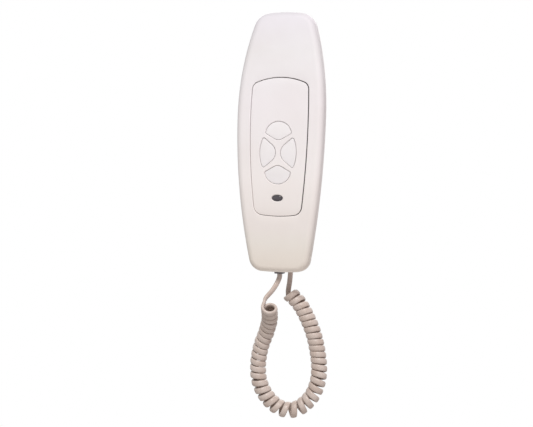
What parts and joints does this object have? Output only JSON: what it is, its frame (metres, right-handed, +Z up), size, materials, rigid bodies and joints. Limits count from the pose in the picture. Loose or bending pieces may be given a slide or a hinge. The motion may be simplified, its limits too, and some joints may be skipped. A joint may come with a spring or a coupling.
{
  "type": "audio intercom handset",
  "caption": "Wall intercom handset: a bowed ivory handset with petal buttons and an indicator, hung on a small wall base and joined to it by a curly cord.",
  "frame": {"origin": "on the wall plane, midway between the two wall screw holes, level with the middle of the handset's length", "axes": "+Z up along the handset, +Y into the wall, -Y is the way the handset faces, +X to the viewer's right"},
  "size_m": [0.0722, 0.0472, 0.3262],
  "materials": {
    "shell": "moulded ABS with a fine satin texture, ivory",
    "rear_shell": "moulded ABS with a fine satin texture, ivory, less handled",
    "buttons": "moulded ABS, slightly smoother than the shell",
    "silicone": "translucent grey silicone rubber",
    "board": "green solder mask on glass fibre",
    "steel": "zinc plated steel",
    "smoked_lens": "smoked acrylic",
    "lamp": "diffused lamp body",
    "foam": "soft black rubber",
    "black_plastic": "black moulded plastic",
    "wire": "thin PVC insulated wire",
    "plug": "smoky clear polycarbonate",
    "cord": "flexible beige PVC",
    "terminal": "blue terminal block plastic"
  },
  "bodies": {
    "base": {"base_cover": "rear_shell", "rest_pads": "foam", "base_plate": "rear_shell", "base_board": "board", "base_board_screws": "steel", "terminal_block": "terminal", "terminal_screws": "steel", "call_sounder": "black_plastic", "hook_switch": "black_plastic", "hook_spring": "steel", "base_jack": "black_plastic", "cover_screws": "steel", "base_plug": "plug", "cord_lead_base": "cord", "cord_curls": "cord"},
    "handset": {"front_shell": "shell", "rear_shell": "rear_shell", "button_panel": "shell", "button_mat": "silicone", "button_board": "board", "board_screws": "steel", "indicator_lens": "smoked_lens", "indicator_lamp": "lamp", "receiver_cap": "rear_shell", "receiver_gasket": "foam", "receiver_capsule": "black_plastic", "receiver_wires": "wire", "microphone_boot": "silicone", "microphone_capsule": "steel", "microphone_wires": "wire", "handset_jack": "black_plastic", "jack_wires": "wire", "handset_plug": "plug", "shell_screws": "steel", "cord_lead_handset": "cord"},
    "upper_button": {"upper_button": "buttons"},
    "left_button": {"left_button": "buttons"},
    "right_button": {"right_button": "buttons"},
    "lower_button": {"lower_button": "buttons"},
    "hook_plunger": {"hook_plunger": "buttons"}
  },
  "joints": [
    {"name": "handset_lift", "type": "slide", "parent": "base", "child": "handset", "axis": [0, -0.866, 0.5], "range_m": [0, 0.08], "deforming": ["cord_lead_handset", "cord_curls", "cord_lead_base"]},
    {"name": "hook_travel", "type": "slide", "parent": "base", "child": "hook_plunger", "axis": [0, -1, 0], "range_m": [0, 0.003], "deforming": ["hook_spring"]},
    {"name": "upper_press", "type": "slide", "parent": "handset", "child": "upper_button", "axis": [0, 1, 0], "range_m": [0, 0.001], "stiffness_N_per_m": 500, "springref_m": -0.0015, "deforming": ["button_mat"]},
    {"name": "left_press", "type": "slide", "parent": "handset", "child": "left_button", "axis": [0, 1, 0], "range_m": [0, 0.001], "stiffness_N_per_m": 500, "springref_m": -0.0015, "deforming": ["button_mat"]},
    {"name": "right_press", "type": "slide", "parent": "handset", "child": "right_button", "axis": [0, 1, 0], "range_m": [0, 0.001], "stiffness_N_per_m": 500, "springref_m": -0.0015, "deforming": ["button_mat"]},
    {"name": "lower_press", "type": "slide", "parent": "handset", "child": "lower_button", "axis": [0, 1, 0], "range_m": [0, 0.001], "stiffness_N_per_m": 500, "springref_m": -0.0015, "deforming": ["button_mat"]}
  ],
  "couplings": [
    {"joint": "hook_travel", "follows": "handset_lift", "ratio": 0.0375}
  ]
}
